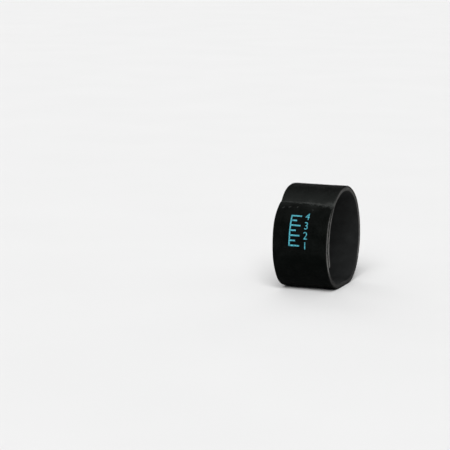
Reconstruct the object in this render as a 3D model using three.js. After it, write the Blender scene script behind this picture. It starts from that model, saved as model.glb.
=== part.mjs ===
// Tennis elbow brace: a padded strip wound once into a ring and closed on itself at the front.
// It lies on its side, flattened where it rests.
// Millimetres, +Z up. +X runs along the ring's axis, and -Y is the front with the closure.
// The origin is below the middle of the brace, on the surface that it rests on.

import * as THREE from "three";

// The strip: a loop-faced cover over a foam core, and the hook patch that holds the tab down.
const BAND_WIDTH = 52;
const COVER_THICKNESS = 1.0;
const FOAM_THICKNESS = 2.9;
const HOOK_THICKNESS = 1.0;
const SEAT_GAP = 0.3;
const COVER_RIM_ROUND = 0.25;
const FOAM_RIM_ROUND = 0.3;
const HOOK_RIM_ROUND = 0.2;

// The section that the strip is wound to, seen along the ring's axis: the same front and back.
const REST_HALF = 11;
const LOWER_BEND = { radius: 33.5, turnDeg: 60 };
const SIDE = { radius: 54, turnDeg: 60 };
const CROWN_TURN_DEG = 180 - LOWER_BEND.turnDeg - SIDE.turnDeg;

// Places along the strip, measured round its outer face from the middle of the rest towards the front.
const INNER_END_AT = 54;
const TAB_END_AT = 116.6;
const RAMP_FROM = 11;
const RAMP_TO = 68;
const HOOK_LENGTH = 46;
const HOOK_FROM_TAB_END = 2.5;
const HOOK_INSET = 3;

// The tab is drawn tight: its stitched end is pinched thin, settles past the hook patch
// and beds into the foam below.
const PINCH_DEPTH = 2.0;
const PINCH_LENGTH = 24;
const SETTLE_DEPTH = 0.9;
const SETTLE_LENGTH = 3;
const BED_DEPTH = 1.0;
const BED_BEFORE = 16;
const BED_PAST = 9;

const STATION_STEP = 3;

const COVER_COLOUR = 0x1b1c1b;
const FOAM_COLOUR = 0x4a4846;
const HOOK_COLOUR = 0x121212;

const radians = THREE.MathUtils.degToRad;
const smooth = THREE.MathUtils.smoothstep;

// The crown's radius is the one that brings the two halves of the section together over the rest.
function crownRadius() {
  const atSide = Math.sin(radians(LOWER_BEND.turnDeg));
  const atCrown = Math.sin(radians(LOWER_BEND.turnDeg + SIDE.turnDeg));
  const reach = REST_HALF + (LOWER_BEND.radius - SIDE.radius) * atSide + SIDE.radius * atCrown;
  return reach / atCrown;
}

// The section's stretches in the order that the strip is wound: rest, front, crown, back, rest.
function sectionStretches() {
  const arc = (radius, turnDeg) => ({
    radius,
    turn: radians(turnDeg),
    length: radius * radians(turnDeg),
  });
  const flat = { radius: 0, turn: 0, length: REST_HALF };
  const lower = arc(LOWER_BEND.radius, LOWER_BEND.turnDeg);
  const side = arc(SIDE.radius, SIDE.turnDeg);
  const crown = arc(crownRadius(), 2 * CROWN_TURN_DEG);
  return [flat, lower, side, crown, side, lower, flat];
}

const STRETCHES = sectionStretches();
const ROUND = STRETCHES.reduce((sum, stretch) => sum + stretch.length, 0);

// The way that the strip heads and its outward normal, both as (y, z), for a turn from the rest.
const headingOf = (turn) => new THREE.Vector2(-Math.cos(turn), Math.sin(turn));
const normalOf = (turn) => new THREE.Vector2(-Math.sin(turn), -Math.cos(turn));

// Point and outward normal of the single layer's outer face, at a distance round from the rest's middle.
function sectionAt(distance) {
  let left = distance % ROUND;
  let turn = 0;
  const point = new THREE.Vector2(0, 0);
  for (const stretch of STRETCHES) {
    const run = Math.min(left, stretch.length);
    if (stretch.radius === 0) {
      point.addScaledVector(headingOf(turn), run);
    } else {
      point.addScaledVector(normalOf(turn), -stretch.radius);
      turn += run / stretch.radius;
      point.addScaledVector(normalOf(turn), stretch.radius);
    }
    left -= run;
    if (left <= 0) break;
  }
  return { point, normal: normalOf(turn) };
}

const STRIP_THICKNESS = COVER_THICKNESS + SEAT_GAP + FOAM_THICKNESS;
const LIFT = STRIP_THICKNESS + HOOK_THICKNESS + 2 * SEAT_GAP;
const STRIP_START = INNER_END_AT;
const STRIP_END = ROUND + TAB_END_AT;

// How far the strip stands off the section: nothing on the first layer, and over it from the ramp on.
const liftAt = (distance) => LIFT * smooth(distance, ROUND + RAMP_FROM, ROUND + RAMP_TO);

// How far the cover is drawn down into the foam by the stitching at the tab's end.
const pinchAt = (distance) => PINCH_DEPTH * smooth(distance, STRIP_END - PINCH_LENGTH, STRIP_END);

// How far the tab's last stretch, past the hook patch, comes down on the layer below.
const settleAt = (distance) => SETTLE_DEPTH * smooth(distance, STRIP_END - SETTLE_LENGTH, STRIP_END);

// How far the tab's end presses the layer below it in.
function bedAt(distance) {
  const place = distance % ROUND;
  const coming = smooth(place, TAB_END_AT - BED_BEFORE, TAB_END_AT);
  const going = smooth(place, TAB_END_AT, TAB_END_AT + BED_PAST);
  return BED_DEPTH * (coming - going);
}

// A point over the first layer's cover, at a height above it.
function overFirstLayer(distance, height) {
  const { point, normal } = sectionAt(distance);
  return point.addScaledVector(normal, height - bedAt(distance));
}

// A point of the wound strip, at a depth below its outer face.
function stripAt(distance, depth) {
  const probe = 0.05;
  const before = overFirstLayer(distance - probe, liftAt(distance - probe));
  const after = overFirstLayer(distance + probe, liftAt(distance + probe));
  const along = after.sub(before).normalize();
  const outward = new THREE.Vector2(-along.y, along.x);
  const outerFace = overFirstLayer(distance, liftAt(distance));
  return outerFace.addScaledVector(outward, -depth - settleAt(distance));
}

// The depth of the foam's inner face: it keeps its round where the layer's outside is pressed in.
const innerDepthAt = (distance) => STRIP_THICKNESS - (distance < ROUND ? bedAt(distance) : 0);

function stations(from, to) {
  const steps = Math.ceil((to - from) / STATION_STEP);
  return Array.from({ length: steps + 1 }, (_, i) => from + ((to - from) * i) / steps);
}

// Extrudes the outline between an outer and an inner line of the section across the band.
function acrossTheBand(outerLine, innerLine, width, rimRound) {
  const shape = new THREE.Shape([...outerLine, ...innerLine.reverse()]);
  const geometry = new THREE.ExtrudeGeometry(shape, {
    depth: width - 2 * rimRound,
    steps: 1,
    bevelEnabled: true,
    bevelThickness: rimRound,
    bevelSize: rimRound,
    bevelOffset: -rimRound,
    bevelSegments: 1,
  });
  geometry.translate(0, 0, -width / 2 + rimRound);
  const upright = new THREE.Matrix4().makeBasis(
    new THREE.Vector3(0, 1, 0),
    new THREE.Vector3(0, 0, 1),
    new THREE.Vector3(1, 0, 0),
  );
  return geometry.applyMatrix4(upright);
}

function piece(name, geometry, colour, roughness) {
  const material = new THREE.MeshStandardMaterial({ color: colour, roughness, metalness: 0 });
  const mesh = new THREE.Mesh(geometry, material);
  mesh.name = name;
  return mesh;
}

// The loop-faced fabric on the outside of the strip.
function loopCover() {
  const at = stations(STRIP_START, STRIP_END);
  const outer = at.map((d) => stripAt(d, pinchAt(d)));
  const inner = at.map((d) => stripAt(d, pinchAt(d) + COVER_THICKNESS));
  return acrossTheBand(outer, inner, BAND_WIDTH, COVER_RIM_ROUND);
}

// The foam padding under the cover.
function foamCore() {
  const at = stations(STRIP_START, STRIP_END);
  const outer = at.map((d) => stripAt(d, pinchAt(d) + COVER_THICKNESS + SEAT_GAP));
  const inner = at.map((d) => stripAt(d, innerDepthAt(d)));
  return acrossTheBand(outer, inner, BAND_WIDTH, FOAM_RIM_ROUND);
}

// The hook patch, sewn inside the tab, that lies on the first layer's cover.
function hookPatch() {
  const end = STRIP_END - HOOK_FROM_TAB_END;
  const at = stations(end - HOOK_LENGTH, end);
  const top = at.map((d) => overFirstLayer(d, SEAT_GAP + HOOK_THICKNESS));
  const bottom = at.map((d) => overFirstLayer(d, SEAT_GAP));
  return acrossTheBand(top, bottom, BAND_WIDTH - 2 * HOOK_INSET, HOOK_RIM_ROUND);
}

const brace = new THREE.Group();
brace.add(
  piece("loop_cover", loopCover(), COVER_COLOUR, 0.95),
  piece("foam_core", foamCore(), FOAM_COLOUR, 0.9),
  piece("hook_patch", hookPatch(), HOOK_COLOUR, 0.6),
);

// The front is thicker than the back, so the brace is moved until its box is centred over the origin.
const extent = new THREE.Box3().setFromObject(brace);
brace.position.y = -(extent.min.y + extent.max.y) / 2;

export default brace;
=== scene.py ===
# Looks of the tennis elbow brace: loop-faced cover, foam with a knit lining, hook patch, stitching,
# loop pile, frayed tab end and a printed fit scale, with a pale floor, soft light and the camera.
import math

import bmesh
import bpy
import numpy as np
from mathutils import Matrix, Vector


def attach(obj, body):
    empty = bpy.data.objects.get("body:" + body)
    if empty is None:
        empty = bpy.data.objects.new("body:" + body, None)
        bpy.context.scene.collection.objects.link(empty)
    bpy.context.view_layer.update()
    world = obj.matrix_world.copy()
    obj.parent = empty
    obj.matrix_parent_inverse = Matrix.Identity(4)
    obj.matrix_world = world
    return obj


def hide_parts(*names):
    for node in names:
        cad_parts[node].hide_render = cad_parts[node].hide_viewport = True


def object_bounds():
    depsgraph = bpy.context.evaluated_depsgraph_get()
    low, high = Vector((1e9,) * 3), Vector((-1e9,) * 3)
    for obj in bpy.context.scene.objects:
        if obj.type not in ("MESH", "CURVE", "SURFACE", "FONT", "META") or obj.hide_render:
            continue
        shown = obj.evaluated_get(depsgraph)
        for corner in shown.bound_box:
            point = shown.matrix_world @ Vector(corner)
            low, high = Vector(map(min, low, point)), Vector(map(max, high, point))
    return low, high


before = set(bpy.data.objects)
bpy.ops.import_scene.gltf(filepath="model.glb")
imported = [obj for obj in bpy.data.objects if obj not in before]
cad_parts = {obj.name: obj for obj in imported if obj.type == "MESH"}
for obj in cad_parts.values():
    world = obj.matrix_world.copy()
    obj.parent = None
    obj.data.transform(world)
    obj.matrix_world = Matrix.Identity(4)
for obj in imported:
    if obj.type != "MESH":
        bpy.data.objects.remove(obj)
cad_low, cad_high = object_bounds()

MM = 0.001
FULL_TURN = 2 * math.pi

# The section that the strip is wound to, as in the solids: rest, lower bend, side and crown
REST_HALF = 11 * MM
LOWER_RADIUS = 33.5 * MM
SIDE_RADIUS = 54 * MM
BEND_TURN = math.radians(60)
CROWN_RADIUS = LOWER_RADIUS + REST_HALF / math.sin(BEND_TURN)
SECTION_SAMPLES = 12001

# The strip, from its outer face in
BAND_WIDTH = cad_high.x - cad_low.x
HALF_WIDTH = BAND_WIDTH / 2
COVER_THICKNESS = 1.0 * MM
STRIP_THICKNESS = 4.2 * MM
TAB_GAP = 0.9 * MM
LIFT = STRIP_THICKNESS + TAB_GAP

# Places round the strip's outer face, from the middle of the rest towards the front
INNER_END_AT = 54 * MM
TAB_END_AT = 116.6 * MM
RAMP_FROM = 11 * MM
RAMP_TO = 68 * MM

# The tab, drawn tight: its end is pinched, settles past the hook patch, beds into the foam and lies askew
PINCH_DEPTH = 3.1 * MM
PINCH_LENGTH = 24 * MM
SKIVE_DEPTH = 0.4 * MM
SETTLE_DEPTH = 0.75 * MM
SETTLE_LENGTH = 5 * MM
BED_DEPTH = 1.1 * MM
BED_BEFORE = 16 * MM
BED_PAST = 14 * MM
TAB_SKEW = 1.0 * MM
TAB_BOW = 1.5 * MM

# The hook patch and the stitching that holds it
HOOK_LENGTH = 46 * MM
HOOK_FROM_TAB_END = 2.5 * MM
HOOK_INSET = 3 * MM
HOOK_HALF = HALF_WIDTH - HOOK_INSET
TAPE_THICKNESS = 0.4 * MM
SEAM_FROM_EDGE = 3.1 * MM
SEAM_GROOVE = 0.25 * MM
SEAM_GROOVE_WIDTH = 0.9 * MM

# Slow waves of the soft strip: length along it, length across it, phase and height
WAVES = [
    {"along": 61 * MM, "across": 140 * MM, "phase": 0.4, "height": 0.16 * MM},
    {"along": 37 * MM, "across": -95 * MM, "phase": 2.1, "height": 0.10 * MM},
    {"along": 23 * MM, "across": 70 * MM, "phase": 4.4, "height": 0.06 * MM},
]
WAVES_GROW_OVER = 33 * MM

# The camera: where it stands from the brace's middle, and where that middle lands in the picture
IMAGE_SIZE = 450
CAMERA_AZIMUTH = math.radians(19.2)
CAMERA_ELEVATION = math.radians(10)
CAMERA_DISTANCE = 1.74
PIXELS_PER_METRE = 1068
MIDDLE_PIXEL = (318.2, 233.8)
SENSOR_WIDTH = 36


# Form of the wound strip

def smooth(value, start, end):
    """From 0 at start to 1 at end, level at both."""
    t = np.clip((value - start) / (end - start), 0, 1)
    return t * t * (3 - 2 * t)


def section_table():
    """Distance round the section, (y, z) and the turn from the rest, at fine steps."""
    arcs = [LOWER_RADIUS, SIDE_RADIUS, CROWN_RADIUS]
    lengths = [REST_HALF] + [r * BEND_TURN for r in arcs + arcs[::-1]] + [REST_HALF]
    turns = [0, 0] + [BEND_TURN * (i + 1) for i in range(2 * len(arcs))] + [FULL_TURN]
    ends = np.concatenate([[0], np.cumsum(lengths)])
    distance = np.linspace(0, ends[-1], SECTION_SAMPLES)
    turn = np.interp(distance, ends, turns)
    step = distance[1]
    middle = (turn[1:] + turn[:-1]) / 2
    y = np.concatenate([[0], np.cumsum(-np.cos(middle) * step)])
    z = np.concatenate([[0], np.cumsum(np.sin(middle) * step)])
    return distance, y, z, turn


SECTION_D, SECTION_Y, SECTION_Z, SECTION_TURN = section_table()
ROUND = SECTION_D[-1]
SHIFT_Y = cad_high.y - SECTION_Y.max()
STRIP_START = INNER_END_AT
STRIP_END = ROUND + TAB_END_AT
HOOK_END = STRIP_END - HOOK_FROM_TAB_END
HOOK_START = HOOK_END - HOOK_LENGTH


def lift(d):
    """How far the strip stands off the section: over its own first layer from the ramp on."""
    return LIFT * smooth(d, ROUND + RAMP_FROM, ROUND + RAMP_TO)


def pinch(d):
    """How far the cover is drawn into the foam at the tab's end."""
    return PINCH_DEPTH * smooth(d, STRIP_END - PINCH_LENGTH, STRIP_END)


def cover_base(d):
    """Depth of the cover's underside: the cover is skived thin towards the tab's end."""
    return pinch(d) + COVER_THICKNESS - SKIVE_DEPTH * smooth(d, STRIP_END - PINCH_LENGTH, STRIP_END)


def settle(d):
    """How far the tab's last stretch comes down on the layer below."""
    return SETTLE_DEPTH * smooth(d, STRIP_END - SETTLE_LENGTH, STRIP_END)


def bed(d):
    """How far the tab's end presses the layer below it in."""
    at = d % ROUND
    coming = smooth(at, TAB_END_AT - BED_BEFORE, TAB_END_AT)
    going = smooth(at, TAB_END_AT, TAB_END_AT + BED_PAST)
    return BED_DEPTH * (coming - going)


def askew(x, d):
    """How far back the tab lies at x across it: its end is skewed and slightly bowed."""
    across = x / HALF_WIDTH
    at_end = TAB_SKEW * across + TAB_BOW * across**2
    return at_end * smooth(d, STRIP_END - HOOK_LENGTH, STRIP_END)


def from_rest(d):
    """Distance round the strip from the middle of the rest, either way."""
    return np.abs((d + ROUND / 2) % ROUND - ROUND / 2)


def off_rest(d, reach):
    """From 0 where the strip rests to 1 at reach past that."""
    return smooth(from_rest(d), REST_HALF, REST_HALF + reach)


def ripple(x, d):
    """Slow waves outward, which die away where the strip rests."""
    total = 0
    for wave in WAVES:
        turn = FULL_TURN * (d / wave["along"] + x / wave["across"]) + wave["phase"]
        total = total + wave["height"] * np.sin(turn)
    return total * off_rest(d, WAVES_GROW_OVER)


def over_first_layer(d, height):
    """(y, z) at a height over the first layer, which is pressed in under the tab's end."""
    at = d % ROUND
    turn = np.interp(at, SECTION_D, SECTION_TURN)
    out = height - bed(d)
    y = np.interp(at, SECTION_D, SECTION_Y) - np.sin(turn) * out
    z = np.interp(at, SECTION_D, SECTION_Z) - np.cos(turn) * out
    return np.stack([y + SHIFT_Y, z], -1)


def strip_frame(d):
    """(y, z) of the outer face at each distance, and the outward direction there."""
    probe = 0.05 * MM
    line = over_first_layer(d, lift(d))
    before = over_first_layer(d - probe, lift(d - probe))
    forward = over_first_layer(d + probe, lift(d + probe)) - before
    forward /= np.linalg.norm(forward, axis=-1, keepdims=True)
    outward = np.stack([-forward[..., 1], forward[..., 0]], -1)
    return line, outward


def place(x, d, depth):
    """Points of the strip at x across it, d along it and depth below its outer face."""
    x, d, depth = np.broadcast_arrays(x, d, depth)
    at = d - askew(x, d)
    line, outward = strip_frame(at)
    yz = line + outward * (ripple(x, at) - settle(d) - depth)[..., None]
    return np.concatenate([x[..., None], yz], -1)


def outward_at(d):
    """The outward direction at each distance, as (x, y, z)."""
    _, outward = strip_frame(d)
    return np.concatenate([np.zeros((len(outward), 1)), outward], 1)


# Seams: the lines of stitching round the hook patch, as (x, d) corners

SEAM_TOP = HOOK_END - SEAM_FROM_EDGE
SEAM_BOTTOM = HOOK_START + SEAM_FROM_EDGE
SEAM_SIDE = HOOK_HALF - SEAM_FROM_EDGE
SEAM_CORNERS = [
    (-SEAM_SIDE, SEAM_TOP),
    (SEAM_SIDE, SEAM_TOP),
    (SEAM_SIDE, SEAM_BOTTOM),
    (-SEAM_SIDE, SEAM_BOTTOM),
]
SEAMS = list(zip(SEAM_CORNERS, SEAM_CORNERS[1:] + SEAM_CORNERS[:1]))


def seam_groove(x, d):
    """How far the stitching draws the cover down."""
    nearest = np.full(np.shape(x), np.inf)
    for (x0, d0), (x1, d1) in SEAMS:
        off_x = x - np.clip(x, min(x0, x1), max(x0, x1))
        off_d = d - np.clip(d, min(d0, d1), max(d0, d1))
        nearest = np.minimum(nearest, np.hypot(off_x, off_d))
    return SEAM_GROOVE * np.exp(-((nearest / SEAM_GROOVE_WIDTH) ** 2))


def cover_top(x, d):
    """Depth of the cover's outer face."""
    return pinch(d) + seam_groove(x, d)


# Meshes

def add_object(name, points, faces, materials, slots=None, uv=None, tone=None):
    """A smooth-shaded piece that rides on the brace. uv and tone have a value for each point."""
    mesh = bpy.data.meshes.new(name)
    mesh.from_pydata(np.asarray(points).tolist(), [], faces)
    for material in materials:
        mesh.materials.append(material)
    if slots is not None:
        mesh.polygons.foreach_set("material_index", np.asarray(slots, dtype=np.int32))
    if uv is not None:
        corners = np.empty(len(mesh.loops), dtype=np.int32)
        mesh.loops.foreach_get("vertex_index", corners)
        layer = mesh.uv_layers.new(name="strip")
        layer.data.foreach_set("uv", np.asarray(uv, dtype=np.float32)[corners].ravel())
    if tone is not None:
        attribute = mesh.attributes.new("tone", "FLOAT", "POINT")
        attribute.data.foreach_set("value", np.asarray(tone, dtype=np.float32))
    mesh.polygons.foreach_set("use_smooth", np.ones(len(mesh.polygons), dtype=bool))
    mesh.validate()
    mesh.update()
    made = bpy.data.objects.new(name, mesh)
    bpy.context.scene.collection.objects.link(made)
    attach(made, "root")
    return made


def rounded_run(low, high, count, radius, steps=4):
    """Places from one rounded edge to the other, and how far each is rounded down from the face."""
    angles = np.linspace(math.pi / 2, 0, steps + 1)[:-1]
    rim = radius * (1 - np.sin(angles))
    rim_drop = radius * (1 - np.cos(angles))
    flat = np.linspace(low + radius, high - radius, count)
    at = np.concatenate([low + rim, flat, high - rim[::-1]])
    drop = np.concatenate([rim_drop, np.zeros(count), rim_drop[::-1]])
    return at, drop


def wound_mesh(span, step, columns, top, bottom, radius):
    """A closed strip with rounded edges, from span's start to its end, between the depths top and bottom.

    Gives its points, its faces as outer face, rims and ends, and inner face, and (x, d) of each point.
    """
    x, drop = columns
    rows = max(2, int((span[1] - span[0]) / step))
    d, inset = rounded_run(span[0], span[1], rows, radius)
    grid_x, grid_d = np.meshgrid(x, d)
    half = (x.max() - x.min()) / 2
    centre = (x.max() + x.min()) / 2
    grid_x = centre + (grid_x - centre) * (1 - inset / half)[:, None]
    down = np.maximum(drop[None, :], inset[:, None])
    outer = place(grid_x, grid_d, top(grid_x, grid_d) + down)
    inner = place(grid_x, grid_d, bottom(grid_x, grid_d) - down)
    index = np.arange(grid_x.size).reshape(grid_x.shape)
    under = index + grid_x.size

    def quads(*corners):
        return np.stack([corner.ravel() for corner in corners], 1)

    outer_face = quads(index[:-1, :-1], index[:-1, 1:], index[1:, 1:], index[1:, :-1])
    inner_face = quads(under[:-1, :-1], under[1:, :-1], under[1:, 1:], under[:-1, 1:])
    edges = np.concatenate([
        quads(index[:-1, -1], under[:-1, -1], under[1:, -1], index[1:, -1]),
        quads(index[1:, 0], under[1:, 0], under[:-1, 0], index[:-1, 0]),
        quads(index[0, 1:], index[0, :-1], under[0, :-1], under[0, 1:]),
        quads(index[-1, :-1], index[-1, 1:], under[-1, 1:], under[-1, :-1]),
    ])
    points = np.concatenate([outer.reshape(-1, 3), inner.reshape(-1, 3)])
    on_strip = np.tile(np.stack([grid_x.ravel(), grid_d.ravel()], 1), (2, 1))
    return points, (outer_face, edges, inner_face), on_strip


def wound_solid(name, mesh, materials, side_slots=(0, 0, 0), tone=None):
    """The object of a wound mesh. side_slots are the material slots of outer face, edges and inner face."""
    points, sides, on_strip = mesh
    faces = np.concatenate(sides).tolist()
    slots = np.concatenate([np.full(len(side), slot) for side, slot in zip(sides, side_slots)])
    tones = None if tone is None else tone(on_strip[:, 0], on_strip[:, 1])
    return add_object(name, points, faces, materials, slots, on_strip / MM, tones)


def tubes(paths, normals, radius, sides):
    """Points and faces of many closed tubes. paths is tubes x points x 3, normals one for each tube."""
    least_length = 1e-9
    count, steps, _ = paths.shape
    along = np.gradient(paths, axis=1)
    along /= np.linalg.norm(along, axis=2, keepdims=True)
    across = np.cross(along, normals[:, None, :])
    across /= np.maximum(np.linalg.norm(across, axis=2, keepdims=True), least_length)
    up = np.cross(across, along)
    angle = FULL_TURN * np.arange(sides) / sides
    ring = np.cos(angle)[:, None] * across[:, :, None, :] + np.sin(angle)[:, None] * up[:, :, None, :]
    points = paths[:, :, None, :] + ring * np.reshape(radius, (-1, 1, 1, 1))
    index = np.arange(count * steps * sides).reshape(count, steps, sides)
    turned = np.roll(index, -1, axis=2)
    walls = np.stack([index[:, :-1], index[:, 1:], turned[:, 1:], turned[:, :-1]], -1)
    faces = walls.reshape(-1, 4).tolist()
    faces += index[:, 0].reshape(-1, sides).tolist()
    faces += index[:, -1, ::-1].reshape(-1, sides).tolist()
    return points.reshape(-1, 3), faces


def threads_on_cover(name, material, x, d, height, normals, radius, sides):
    """Thin tubes at x across the cover, d along it and height over it, with one row for each tube."""
    paths = place(x, d, cover_top(x, d) - height)
    return add_object(name, *tubes(paths, normals, radius, sides), [material])


# Materials

def grey(value):
    return (value, value, value)


def new_material(name, roughness, specular):
    """A material, with its nodes, links and shader."""
    material = bpy.data.materials.new(name)
    material.use_nodes = True
    shader = material.node_tree.nodes["Principled BSDF"]
    shader.inputs["Roughness"].default_value = roughness
    shader.inputs["Specular IOR Level"].default_value = specular
    return material, material.node_tree.nodes, material.node_tree.links, shader


def node(nodes, kind, **settings):
    """A new node. A setting that names an input sets its value, and any other sets the node's own."""
    made = nodes.new(kind)
    for key, value in settings.items():
        if key in made.inputs:
            made.inputs[key].default_value = value
        else:
            setattr(made, key, value)
    return made


def math_node(nodes, links, operation, a, b):
    """The result for two values, each a number or a socket."""
    made = node(nodes, "ShaderNodeMath", operation=operation)
    for socket, value in zip(made.inputs, (a, b)):
        if isinstance(value, (int, float)):
            socket.default_value = value
        else:
            links.new(value, socket)
    return made.outputs[0]


def ramp(nodes, links, factor, stops):
    """Colours along a factor, from stops of position and colour."""
    made = node(nodes, "ShaderNodeValToRGB")
    elements = made.color_ramp.elements
    between = 0.5
    while len(elements) < len(stops):
        elements.new(between)
    for element, (position, colour) in zip(elements, stops):
        element.position = position
        element.color = (*colour, 1)
    links.new(factor, made.inputs[0])
    return made.outputs[0]


def tone_of(nodes):
    return node(nodes, "ShaderNodeAttribute", attribute_name="tone").outputs["Fac"]


def noise(nodes, links, scale, detail):
    made = node(nodes, "ShaderNodeTexNoise", Scale=scale, Detail=detail)
    links.new(node(nodes, "ShaderNodeTexCoord").outputs["Object"], made.inputs["Vector"])
    return made.outputs["Fac"]


def bump(nodes, links, shader, height, strength, distance):
    made = node(nodes, "ShaderNodeBump", Strength=strength, Distance=distance)
    links.new(height, made.inputs["Height"])
    links.new(made.outputs[0], shader.inputs["Normal"])


def knit(nodes, links, wale, course):
    """Height of a plain knit: ribs along the strip, broken into stitches. Sizes are in millimetres.

    A wave texture of scale 1 repeats after unit_wave.
    """
    unit_wave = FULL_TURN / 20
    uv = node(nodes, "ShaderNodeUVMap", uv_map="strip").outputs[0]
    ribs = node(nodes, "ShaderNodeTexWave", bands_direction="X", Scale=unit_wave / wale, Distortion=0.6)
    rows = node(nodes, "ShaderNodeTexWave", bands_direction="Y", Scale=unit_wave / course, Distortion=0.8)
    for wave in (ribs, rows):
        links.new(uv, wave.inputs["Vector"])
    return math_node(nodes, links, "MULTIPLY", ribs.outputs["Fac"], rows.outputs["Fac"])


def loop_fabric():
    """Black loop-faced knit: deep black where it is pressed smooth, greyer where the loops stand up. The
    tone that picks the colour also holds painted shade and a painted highlight.
    """
    # The black stop serves pressed loops and painted shade; the palest stop serves wear and a painted
    # highlight
    pressed = (0.0006, 0.0011, 0.0008)
    brushed = (0.0150, 0.0167, 0.0157)
    worn_and_highlit = (0.055, 0.058, 0.055)
    mean_grain = 1.0
    unevenness = 0.35
    fuzz_height = 1.2
    pressed_roughness = 0.75
    brushed_roughness = 0.95
    material, nodes, links, shader = new_material("loop_fabric", brushed_roughness, specular=0.03)
    mottle = noise(nodes, links, scale=1100, detail=3)
    cloud = noise(nodes, links, scale=90, detail=2)
    grain = math_node(nodes, links, "ADD", mottle, cloud)
    grain = math_node(nodes, links, "SUBTRACT", grain, mean_grain)
    grain = math_node(nodes, links, "MULTIPLY", grain, unevenness)
    mixed = math_node(nodes, links, "ADD", tone_of(nodes), grain)
    colours = ramp(nodes, links, mixed, [(0, pressed), (0.7, brushed), (1, worn_and_highlit)])
    links.new(colours, shader.inputs["Base Color"])
    dull = ramp(nodes, links, mixed, [(0, grey(pressed_roughness)), (1, grey(brushed_roughness))])
    links.new(dull, shader.inputs["Roughness"])
    stitches = knit(nodes, links, wale=0.9, course=0.7)
    fuzz = math_node(nodes, links, "MULTIPLY", mottle, fuzz_height)
    height = math_node(nodes, links, "ADD", stitches, fuzz)
    bump(nodes, links, shader, height, strength=0.8, distance=0.25 * MM)
    return material


def foam_edge():
    """Cut face of grey closed-cell foam, dark where its tone is low. That tone is painted shade near the
    rest and a painted highlight just above it.
    """
    # The darkest stop serves both the foam's dark grain and the painted shade near the rest
    grain_dark_and_painted_shade = grey(0.004)
    dark = (0.016, 0.016, 0.0155)
    middle = (0.061, 0.060, 0.058)
    pale = (0.20, 0.197, 0.19)
    cells_per_metre = 2600
    cloudiness = 0.6
    material, nodes, links, shader = new_material("foam_edge", roughness=0.9, specular=0.1)
    voronoi = node(nodes, "ShaderNodeTexVoronoi", Scale=cells_per_metre)
    links.new(node(nodes, "ShaderNodeTexCoord").outputs["Object"], voronoi.inputs["Vector"])
    cells = voronoi.outputs["Distance"]
    cloud = noise(nodes, links, scale=400, detail=3)
    cloud = math_node(nodes, links, "MULTIPLY", cloud, cloudiness)
    grain = math_node(nodes, links, "ADD", cells, cloud)
    mixed = math_node(nodes, links, "MULTIPLY", grain, tone_of(nodes))
    colours = ramp(nodes, links, mixed, [(0, grain_dark_and_painted_shade), (0.1, dark), (0.6, middle), (1, pale)])
    links.new(colours, shader.inputs["Base Color"])
    bump(nodes, links, shader, cells, strength=0.7, distance=0.15 * MM)
    return material


def lining_knit():
    """Fine smooth jersey bonded to the foam on the inside of the ring."""
    dark = (0.006, 0.0065, 0.0065)
    light = (0.016, 0.017, 0.017)
    stitch_share = 0.5
    material, nodes, links, shader = new_material("lining_knit", roughness=0.8, specular=0.12)
    stitches = knit(nodes, links, wale=0.6, course=0.5)
    cloud = noise(nodes, links, scale=120, detail=3)
    shade = math_node(nodes, links, "MULTIPLY", stitches, stitch_share)
    shade = math_node(nodes, links, "ADD", shade, cloud)
    colours = ramp(nodes, links, shade, [(0.3, dark), (1, light)])
    links.new(colours, shader.inputs["Base Color"])
    bump(nodes, links, shader, stitches, strength=0.6, distance=0.15 * MM)
    return material


def speckled(name, scale, dark, light, roughness, specular):
    """A material whose colour runs between two tones in fine noise, with the same noise as its relief."""
    material, nodes, links, shader = new_material(name, roughness, specular)
    grain = noise(nodes, links, scale, detail=2)
    colours = ramp(nodes, links, grain, [(0.35, dark), (0.7, light)])
    links.new(colours, shader.inputs["Base Color"])
    bump(nodes, links, shader, grain, strength=0.4, distance=0.1 * MM)
    return material


LOOP_FABRIC = loop_fabric()
FOAM_EDGE = foam_edge()
LINING_KNIT = lining_knit()
BRUSHED_FIBRE = speckled(
    "brushed_fibre", scale=700, dark=grey(0.004), light=grey(0.02), roughness=0.6, specular=0.12
)
PRESSED_FIBRE = speckled(
    "pressed_fibre", scale=700, dark=grey(0.0015), light=grey(0.007), roughness=0.7, specular=0.06
)
FRAY_FIBRE = speckled(
    "fray_fibre",
    scale=900,
    dark=(0.027, 0.029, 0.028),
    light=(0.086, 0.092, 0.089),
    roughness=0.6,
    specular=0.15,
)
SEWING_THREAD = speckled(
    "sewing_thread", scale=160, dark=grey(0.001), light=grey(0.005), roughness=0.7, specular=0.06
)
HOOK_PLASTIC = speckled(
    "hook_plastic", scale=1500, dark=grey(0.005), light=grey(0.014), roughness=0.45, specular=0.3
)
SCALE_PRINT = speckled(
    "scale_print",
    scale=1300,
    dark=(0.024, 0.14, 0.17),
    light=(0.088, 0.42, 0.51),
    roughness=0.6,
    specular=0.2,
)
FLOOR_PAPER = speckled(
    "floor_paper", scale=6, dark=grey(0.695), light=grey(0.705), roughness=0.95, specular=0.0
)


# The tone of the loops along the strip: low where they are pressed smooth, high where they are brushed up.
# The table also paints shade: the strip darkens towards the rest and towards the crown's top, and the tab's
# last millimetres are lighter as a painted highlight along its end
TONES = [
    {"at": TAB_END_AT - 4 * MM, "tone": 0.3},
    {"at": TAB_END_AT, "tone": 0.8},
    {"at": TAB_END_AT + 24 * MM, "tone": 0.04},
    {"at": TAB_END_AT + 36 * MM, "tone": 0.04},
    {"at": TAB_END_AT + 60 * MM, "tone": 0.6},
    {"at": TAB_END_AT + 115 * MM, "tone": 0.55},
    {"at": ROUND, "tone": 0.0},
    {"at": ROUND + 40 * MM, "tone": 0.0},
    {"at": STRIP_END - 10 * MM, "tone": 0.1},
    {"at": STRIP_END - 3 * MM, "tone": 0.12},
    {"at": STRIP_END, "tone": 0.3},
]
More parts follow.
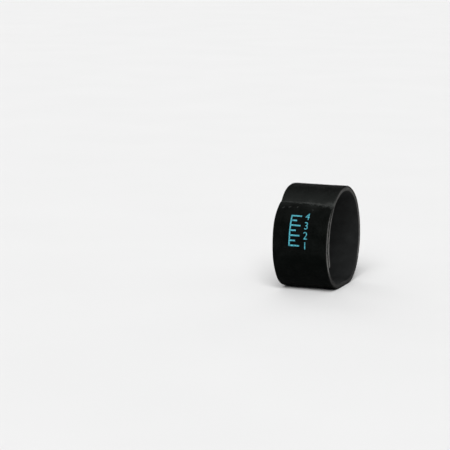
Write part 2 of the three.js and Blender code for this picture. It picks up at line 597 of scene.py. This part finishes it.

# What wear adds to that tone: at the rims, just past the tab's end, and in two rubbed patches. At the tab's
# cut end it adds wear and a painted highlight
WORN_RIM = 1.1 * MM
WORN_RIM_TONE = 0.2
# Wear and a painted highlight along the tab's cut end, lighter in patches and towards +x
END_WEAR_AND_HIGHLIGHT = 1.4 * MM
END_WEAR_AND_HIGHLIGHT_TONE = 0.25
END_WEAR_AND_HIGHLIGHT_PATCHES = 0.2
END_WEAR_AND_HIGHLIGHT_SIDE = 0.2
PATCH_LENGTHS = (2.3 * MM, 3.7 * MM)
PATCH_PHASE = 1
BRUSHED_SIDE = 0.06
BRUSHED_LENGTH = 6 * MM
RUBBED = [
    {"x": 7 * MM, "half": 7 * MM, "before_end": 4 * MM, "length": 4.5 * MM, "tone": 0.22},
    {"x": -19 * MM, "half": 7 * MM, "before_end": 3 * MM, "length": 3 * MM, "tone": 0.22},
]


def loop_tone(x, d):
    """Tone of the cover's loops: what TONES gives along the strip, painted shade included, with the wear
    and with a painted highlight at the tab's cut end.
    """
    side = x / HALF_WIDTH
    along = np.interp(d, [row["at"] for row in TONES], [row["tone"] for row in TONES])
    rim = smooth(np.abs(x), HALF_WIDTH - WORN_RIM, HALF_WIDTH)
    # The tab's cut end: wear and a painted highlight
    end = smooth(d, STRIP_END - END_WEAR_AND_HIGHLIGHT, STRIP_END - END_WEAR_AND_HIGHLIGHT / 2)
    patches = np.sin(x / PATCH_LENGTHS[0]) * np.sin(x / PATCH_LENGTHS[1] + PATCH_PHASE)
    end_wear_and_highlight = END_WEAR_AND_HIGHLIGHT_TONE + END_WEAR_AND_HIGHLIGHT_PATCHES * patches + END_WEAR_AND_HIGHLIGHT_SIDE * side
    brushed = BRUSHED_SIDE * side * np.exp(-(((d - TAB_END_AT) / BRUSHED_LENGTH) ** 2))
    rubbed = 0
    for patch in RUBBED:
        off_x = (x - patch["x"]) / patch["half"]
        off_d = (d - STRIP_END + patch["before_end"]) / patch["length"]
        rubbed = rubbed + patch["tone"] * np.exp(-(off_x**2) - off_d**2)
    return along + brushed + rubbed + WORN_RIM_TONE * rim + end_wear_and_highlight * end


# The tone of the foam's edge, by distance from the rest: painted shade where it lies, a painted highlight
# just above that
FOAM_PAINTED_LIGHT = [
    {"from_rest": 34 * MM, "tone": 0.26},
    {"from_rest": 41 * MM, "tone": 0.32},
    {"from_rest": 47 * MM, "tone": 0.6},
    {"from_rest": 54 * MM, "tone": 1.0},
    {"from_rest": 75 * MM, "tone": 1.0},
    {"from_rest": 110 * MM, "tone": 0.67},
]


def foam_painted_light(x, d):
    """Tone of the foam's edge, the same all across the strip: painted shade near the rest and a painted
    highlight above it.
    """
    places = [row["from_rest"] for row in FOAM_PAINTED_LIGHT]
    return np.interp(from_rest(d), places, [row["tone"] for row in FOAM_PAINTED_LIGHT])


# Cover, foam and hook patch

def make_cover():
    edge_round = 0.28 * MM
    step = 0.8 * MM
    columns = rounded_run(-HALF_WIDTH, HALF_WIDTH, count=64, radius=edge_round)
    span = (STRIP_START, STRIP_END)
    mesh = wound_mesh(span, step, columns, cover_top, lambda x, d: cover_base(d), edge_round)
    cover = wound_solid("cover", mesh, [LOOP_FABRIC], tone=loop_tone)
    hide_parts("loop_cover")
    return cover


def make_foam():
    bond = 0.1 * MM
    setback = 0.15 * MM
    edge_round = 0.2 * MM
    step = 1.2 * MM
    columns = rounded_run(-HALF_WIDTH + setback, HALF_WIDTH - setback, count=40, radius=edge_round)
    span = (STRIP_START + setback, STRIP_END - setback)

    def top(x, d):
        return cover_base(d) - bond

    def bottom(x, d):
        return STRIP_THICKNESS - np.where(d < ROUND, bed(d), 0)

    mesh = wound_mesh(span, step, columns, top, bottom, edge_round)
    foam = wound_solid("foam", mesh, [FOAM_EDGE, LINING_KNIT], side_slots=(0, 0, 1), tone=foam_painted_light)
    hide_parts("foam_core")


def make_hook_tape():
    edge_round = 0.15 * MM
    step = 1.5 * MM
    columns = rounded_run(-HOOK_HALF, HOOK_HALF, count=30, radius=edge_round)

    def top(x, d):
        return np.full(np.shape(x), STRIP_THICKNESS)

    def bottom(x, d):
        return np.full(np.shape(x), STRIP_THICKNESS + TAPE_THICKNESS)

    mesh = wound_mesh((HOOK_START, HOOK_END), step, columns, top, bottom, edge_round)
    tape = wound_solid("hook_tape", mesh, [HOOK_PLASTIC])
    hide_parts("hook_patch")
    return tape


def make_hooks():
    """Rows of small hooks that stand off the tape into the loops below."""
    margin = 1.0 * MM
    rows = 30
    hook_points = 5
    hook_rise = 0.5 * MM
    hook_reach = 0.28 * MM
    hook_radius = 0.07 * MM
    hook_turn = 0.75 * math.pi
    x = np.linspace(-HOOK_HALF + margin, HOOK_HALF - margin, rows)
    d = np.linspace(HOOK_START + margin, HOOK_END - margin, rows)
    grid_x, grid_d = (part.reshape(-1, 1) for part in np.meshgrid(x, d))
    bend = np.linspace(0, 1, hook_points)
    lean = hook_reach * np.sin(bend * math.pi / 2) ** 2
    depth = STRIP_THICKNESS + TAPE_THICKNESS + hook_rise * np.sin(bend * hook_turn)
    paths = place(grid_x, grid_d + lean, depth)
    normals = np.tile([1.0, 0.0, 0.0], (len(paths), 1))
    hooks = add_object("hooks", *tubes(paths, normals, hook_radius, sides=4), [HOOK_PLASTIC])
    return hooks


# Stitching, loops, frayed fibres and lint on the cover

STITCH_PITCH = 3.2 * MM
STITCH_GAP = 0.8 * MM
STITCH_POINTS = 9
THREAD_RADIUS = 0.22 * MM
THREAD_ARCH = 1.5 * THREAD_RADIUS
THREAD_SINK = 0.9 * THREAD_RADIUS


def make_stitching():
    """Lock stitches along the seams, each a short thread that dips into the cover at both ends."""
    ends = []
    for (x0, d0), (x1, d1) in SEAMS:
        length = math.hypot(x1 - x0, d1 - d0)
        count = round(length / STITCH_PITCH)
        for i in range(count):
            share = np.array([i / count, (i + 1) / count - STITCH_GAP / length])
            ends.append((x0 + (x1 - x0) * share, d0 + (d1 - d0) * share))
    start, end = np.moveaxis(np.array(ends), 2, 0)
    t = np.linspace(0, 1, STITCH_POINTS)
    x = start[:, :1] + (end - start)[:, :1] * t
    d = start[:, 1:] + (end - start)[:, 1:] * t
    rise = THREAD_ARCH * np.sin(math.pi * t) ** 0.5 - THREAD_SINK
    normals = outward_at(d[:, STITCH_POINTS // 2])
    return threads_on_cover("stitching", SEWING_THREAD, x, d, rise, normals, THREAD_RADIUS, sides=6)


# The loops that stand on the cover: where each field lies, how high its loops stand and what they are of
PILE_SPLIT = ROUND / 2 + 30 * MM
PILE_FIELDS = [
    {"name": "pile_top", "span": (TAB_END_AT, PILE_SPLIT), "high": 0.75 * MM, "fibre": BRUSHED_FIBRE},
    {"name": "pile_back", "span": (PILE_SPLIT, ROUND), "high": 0.6 * MM, "fibre": BRUSHED_FIBRE},
    {"name": "pile_tab", "span": (ROUND, STRIP_END), "high": 0.35 * MM, "fibre": PRESSED_FIBRE},
]
PILE_SEED = 11
PILE_COUNT = 8000
PILE_MARGIN = 0.4 * MM
LOOP_REACH = 1.0 * MM
LOOP_LEAST_SHARE = 0.35
LOOP_SWING = 0.18 * MM
LOOP_RADIUS = (0.025 * MM, 0.04 * MM)
LOOP_ALONG = np.array([0, 0.3, 0.7, 1])
LOOP_ARCH = np.array([-0.15, 0.9, 1.0, -0.15])


def make_pile(field, seed):
    """Small arched loops at random places and in random directions, over one field."""
    rng = np.random.default_rng(seed)
    one_each = (PILE_COUNT, 1)
    x = rng.uniform(-HALF_WIDTH + PILE_MARGIN, HALF_WIDTH - PILE_MARGIN, one_each)
    d = rng.uniform(*field["span"], one_each)
    way = rng.uniform(0, FULL_TURN, one_each)
    reach = rng.uniform(LOOP_LEAST_SHARE, 1, one_each) * LOOP_REACH
    height = rng.uniform(LOOP_LEAST_SHARE, 1, one_each) * field["high"]
    swing = rng.normal(0, LOOP_SWING, (PILE_COUNT, len(LOOP_ALONG)))
    radius = rng.uniform(*LOOP_RADIUS, one_each)
    normals = rng.normal(0, 1, (PILE_COUNT, 3))
    path_x = x + np.cos(way) * reach * LOOP_ALONG + np.sin(way) * swing
    path_d = d + np.sin(way) * reach * LOOP_ALONG + np.cos(way) * swing
    path_x = np.clip(path_x, -HALF_WIDTH, HALF_WIDTH)
    path_d = np.minimum(path_d, STRIP_END)
    standing = height * LOOP_ARCH * off_rest(path_d, REST_HALF) - radius
    return threads_on_cover(
        field["name"], field["fibre"], path_x, path_d, standing, normals, radius, sides=3
    )


# Loose fibres along the tab's cut end. Pairs run from least to most, FRAY_REACH_BACK from rim to rim
FRAY_SEED = 21
FRAY_COUNT = 600
FRAY_POINTS = 4
FRAY_CROWDING = 0.5
FRAY_REACH_BACK = (0.8 * MM, 2.0 * MM)
FRAY_ROOT_SHARE = (-0.2, 1)
FRAY_LENGTH = (0.5 * MM, 1.8 * MM)
FRAY_HEIGHT = (0.05 * MM, 0.5 * MM)
FRAY_RADIUS = (0.03 * MM, 0.055 * MM)
FRAY_ARCH = (0.1 * math.pi, 0.85 * math.pi)
FRAY_SPREAD = 1.1
FRAY_CURL = 0.2 * MM
FRAY_SINK = 0.1 * MM
FRAY_PAST_END = 0.5 * MM


def make_fray():
    """Loose fibres along the tab's cut end, closer together towards +x."""
    rng = np.random.default_rng(FRAY_SEED)
    one_each = (FRAY_COUNT, 1)
    across = rng.uniform(0, 1, one_each) ** FRAY_CROWDING
    x = HALF_WIDTH * (2 * across - 1)
    reach_back = FRAY_REACH_BACK[0] + (FRAY_REACH_BACK[1] - FRAY_REACH_BACK[0]) * across
    back = rng.uniform(*FRAY_ROOT_SHARE, one_each) * reach_back
    length = rng.uniform(*FRAY_LENGTH, one_each)
    way = rng.normal(math.pi / 2, FRAY_SPREAD, one_each)
    height = rng.uniform(*FRAY_HEIGHT, one_each)
    t = np.linspace(0, 1, FRAY_POINTS)
    curl = rng.normal(0, FRAY_CURL, (FRAY_COUNT, FRAY_POINTS)) * t
    path_x = np.clip(x + np.cos(way) * length * t + curl, -HALF_WIDTH, HALF_WIDTH)
    path_d = np.minimum(STRIP_END - back + np.sin(way) * length * t, STRIP_END + FRAY_PAST_END)
    standing = height * np.sin(np.linspace(*FRAY_ARCH, FRAY_POINTS)) - FRAY_SINK
    radius = rng.uniform(*FRAY_RADIUS, one_each)
    normals = rng.normal(0, 1, (FRAY_COUNT, 3))
    return threads_on_cover("fray", FRAY_FIBRE, path_x, path_d, standing, normals, radius, sides=4)


# Tufts of lint at the tab's end and in its top seam: x across, place before the end, spread and fibres
LINT = [
    {"x": -20.4 * MM, "before_end": 6.6 * MM, "spread": 0.8 * MM, "fibres": 14},
    {"x": -14.8 * MM, "before_end": 6.4 * MM, "spread": 1.0 * MM, "fibres": 24},
    {"x": -7.2 * MM, "before_end": 6.3 * MM, "spread": 0.9 * MM, "fibres": 20},
    {"x": -5.7 * MM, "before_end": 0.8 * MM, "spread": 1.2 * MM, "fibres": 20},
    {"x": 5.8 * MM, "before_end": 1.0 * MM, "spread": 1.2 * MM, "fibres": 24},
    {"x": 8.4 * MM, "before_end": 8.3 * MM, "spread": 0.7 * MM, "fibres": 10},
    {"x": 11.2 * MM, "before_end": 1.2 * MM, "spread": 1.1 * MM, "fibres": 30},
    {"x": 18.3 * MM, "before_end": 1.6 * MM, "spread": 1.6 * MM, "fibres": 44},
    {"x": 24.6 * MM, "before_end": 2.0 * MM, "spread": 1.0 * MM, "fibres": 26},
]
LINT_SEED = 31
LINT_POINTS = 5
LINT_CURL = 1.2
LINT_RADIUS = (0.03 * MM, 0.05 * MM)

# Shares of a tuft's spread: how its fibres scatter, how long their steps are and how high they stand
LINT_SCATTER = 0.5
LINT_STEP = (0.15, 0.4)
LINT_HEIGHT = (0.1, 0.7)


def make_lint():
    """Tufts of fibres that curl over the cover."""
    rng = np.random.default_rng(LINT_SEED)
    t = np.linspace(0, 1, LINT_POINTS)
    tufts = []
    for tuft in LINT:
        one_each = (tuft["fibres"], 1)
        x = tuft["x"] + rng.normal(0, LINT_SCATTER, one_each) * tuft["spread"]
        d = STRIP_END - tuft["before_end"] + rng.normal(0, LINT_SCATTER, one_each) * tuft["spread"]
        way = rng.uniform(0, FULL_TURN, one_each) + rng.normal(0, LINT_CURL, one_each) * t
        step = rng.uniform(*LINT_STEP, one_each) * tuft["spread"]
        height = rng.uniform(*LINT_HEIGHT, one_each) * tuft["spread"]
        path_x = np.clip(x + np.cumsum(np.cos(way) * step, 1), -HALF_WIDTH, HALF_WIDTH)
        path_d = np.minimum(d + np.cumsum(np.sin(way) * step, 1), STRIP_END)
        tufts.append((path_x, path_d, height * np.sin(math.pi * t)))
    path_x, path_d, standing = (np.concatenate(rows) for rows in zip(*tufts))
    normals = rng.normal(0, 1, (len(path_x), 3))
    radius = rng.uniform(*LINT_RADIUS, len(path_x))
    return threads_on_cover("lint", FRAY_FIBRE, path_x, path_d, standing, normals, radius, sides=4)


# The printed fit scale on the tab: a rule with four numbered marks and short ones between
SCALE_D = ROUND + 88.2 * MM
SCALE_PITCH = 4.2 * MM
SCALE_STEPS = 6
SPINE_X = -9 * MM
LONG_MARK = 9 * MM
SHORT_MARK = 5 * MM
MARK_HALF = 0.65 * MM
NUMBER_X = 5.5 * MM
NUMBER_HEIGHT = 9 * MM
NUMBER_EDGE = 1.2 * MM
NUMBER_WELD = 0.01 * MM
NUMBER_CLEANINGS = 3
NUMBER_CUTS = 3
INK_RISE = 0.15 * MM
INK_SINK = 0.1 * MM
INK_ROUND = 0.08 * MM
INK_STEP = 0.8 * MM
INK_COLUMN = 1.0 * MM


def printed_bar(low_x, high_x, low_d, high_d):
    """Points and faces of a thin bar of ink that follows the cover."""

    def top(x, d):
        return cover_top(x, d) - INK_RISE

    def bottom(x, d):
        return cover_top(x, d) + INK_SINK

    count = max(3, int((high_x - low_x) / INK_COLUMN))
    columns = rounded_run(low_x, high_x, count, INK_ROUND, steps=2)
    points, sides, _ = wound_mesh((low_d, high_d), INK_STEP, columns, top, bottom, INK_ROUND)
    return points, np.concatenate(sides).tolist()


def printed_number(text, d):
    """Points and faces of a number, cut fine enough to follow the cover and lifted off it as a thin solid.

    The outline is made in millimetres and then brought to metres. Its filling has slivers, which share
    edges, so they are taken out in a few rounds.
    """
    curve = bpy.data.curves.new("number", "FONT")
    curve.body = text
    curve.align_x = "CENTER"
    curve.align_y = "CENTER"
    curve.size = NUMBER_HEIGHT / MM
    curve.extrude = INK_RISE / MM
    holder = bpy.data.objects.new("number", curve)
    flat = bpy.data.meshes.new_from_object(holder)
    solid = bmesh.new()
    solid.from_mesh(flat)
    bmesh.ops.remove_doubles(solid, verts=solid.verts, dist=NUMBER_WELD / MM)
    for _ in range(NUMBER_CLEANINGS):
        bmesh.ops.dissolve_degenerate(solid, dist=NUMBER_WELD / MM, edges=solid.edges)
    bmesh.ops.triangulate(solid, faces=solid.faces)
    for _ in range(NUMBER_CUTS):
        long_edges = [edge for edge in solid.edges if edge.calc_length() > NUMBER_EDGE / MM]
        bmesh.ops.subdivide_edges(solid, edges=long_edges, cuts=1)
        bmesh.ops.triangulate(solid, faces=solid.faces)
    solid.verts.index_update()
    local = np.array([vertex.co for vertex in solid.verts]) * MM
    faces = [[vertex.index for vertex in face.verts] for face in solid.faces]
    solid.free()
    bpy.data.objects.remove(holder)
    bpy.data.curves.remove(curve)
    bpy.data.meshes.remove(flat)
    at_x = NUMBER_X + local[:, 0]
    at_d = d + local[:, 1]
    return place(at_x, at_d, cover_top(at_x, at_d) - local[:, 2]), faces


def make_scale():
    """The scale as one piece: a spine, its marks, and a number beside every second mark."""
    low_d = SCALE_D - SCALE_PITCH * SCALE_STEPS / 2
    high_d = SCALE_D + SCALE_PITCH * SCALE_STEPS / 2
    mark_start = SPINE_X + INK_ROUND / 2
    bars = [(SPINE_X - 2 * MARK_HALF, SPINE_X, low_d - MARK_HALF, high_d + MARK_HALF)]
    parts = []
    for i in range(SCALE_STEPS + 1):
        at = low_d + i * SCALE_PITCH
        numbered = i % 2 == 0
        reach = LONG_MARK if numbered else SHORT_MARK
        bars.append((mark_start, SPINE_X + reach, at - MARK_HALF, at + MARK_HALF))
        if numbered:
            parts.append(printed_number(str(i // 2 + 1), at))
    parts += [printed_bar(*bar) for bar in bars]
    faces = []
    first = 0
    for points, part_faces in parts:
        faces += [[first + corner for corner in face] for face in part_faces]
        first += len(points)
    return add_object("fit_scale", np.concatenate([points for points, _ in parts]), faces, [SCALE_PRINT])


cover = make_cover()
make_foam()
tape = make_hook_tape()
hooks = make_hooks()
on_cover = [make_stitching(), make_fray(), make_lint(), make_scale()]
on_cover += [make_pile(field, PILE_SEED + i) for i, field in enumerate(PILE_FIELDS)]


# Floor, light and camera

FLOOR_SIZE = 400
LIGHT_GREY = 0.35
BACKDROP_GREY = 0.888
SOFT_LIGHTS = [
    {"name": "key", "towards": (0.3, -1.0, 0.95), "energy": 3.5, "spread_deg": 40},
    {"name": "fill", "towards": (-0.5, 1.0, 0.3), "energy": 1.8, "spread_deg": 70},
]


def make_floor():
    bpy.ops.mesh.primitive_plane_add(size=FLOOR_SIZE, location=(0, 0, 0))
    floor = bpy.context.object
    floor.name = "floor"
    floor.data.materials.append(FLOOR_PAPER)


def make_surround():
    """A grey surround that lights the brace and that the camera sees as a pale backdrop."""
    world = bpy.data.worlds.new("studio")
    bpy.context.scene.world = world
    world.use_nodes = True
    nodes, links = world.node_tree.nodes, world.node_tree.links
    surround = nodes["Background"]
    surround.inputs["Color"].default_value = (*grey(LIGHT_GREY), 1)
    backdrop = node(nodes, "ShaderNodeBackground", Color=(*grey(BACKDROP_GREY), 1))
    mix = node(nodes, "ShaderNodeMixShader")
    links.new(node(nodes, "ShaderNodeLightPath").outputs["Is Camera Ray"], mix.inputs[0])
    links.new(surround.outputs[0], mix.inputs[1])
    links.new(backdrop.outputs[0], mix.inputs[2])
    links.new(mix.outputs[0], nodes["World Output"].inputs["Surface"])
    bpy.context.scene.view_settings.view_transform = "Standard"


def make_lights():
    """Two broad lights, each given by the direction that it stands in."""
    for row in SOFT_LIGHTS:
        sun = bpy.data.lights.new(row["name"], "SUN")
        sun.energy = row["energy"]
        sun.angle = math.radians(row["spread_deg"])
        light = bpy.data.objects.new(row["name"], sun)
        light.rotation_euler = Vector(row["towards"]).to_track_quat("Z", "Y").to_euler()
        bpy.context.scene.collection.objects.link(light)


def make_camera():
    """The camera, aimed so that the brace's middle lands on MIDDLE_PIXEL."""
    middle = Vector((0, SHIFT_Y, SECTION_Z.max() / 2))
    back = Vector((
        math.sin(CAMERA_AZIMUTH) * math.cos(CAMERA_ELEVATION),
        -math.cos(CAMERA_AZIMUTH) * math.cos(CAMERA_ELEVATION),
        math.sin(CAMERA_ELEVATION),
    ))
    right = Vector((math.cos(CAMERA_AZIMUTH), math.sin(CAMERA_AZIMUTH), 0))
    up = back.cross(right)
    off_x = (MIDDLE_PIXEL[0] - IMAGE_SIZE / 2) / PIXELS_PER_METRE
    off_y = (MIDDLE_PIXEL[1] - IMAGE_SIZE / 2) / PIXELS_PER_METRE
    aim = middle - right * off_x + up * off_y
    lens = bpy.data.cameras.new("camera")
    lens.sensor_width = SENSOR_WIDTH
    lens.lens = SENSOR_WIDTH * CAMERA_DISTANCE * PIXELS_PER_METRE / IMAGE_SIZE
    camera = bpy.data.objects.new("camera", lens)
    camera.location = middle + back * CAMERA_DISTANCE
    camera.rotation_euler = (aim - camera.location).to_track_quat("-Z", "Y").to_euler()
    bpy.context.scene.collection.objects.link(camera)
    bpy.context.scene.camera = camera


make_floor()
make_surround()
make_lights()
make_camera()
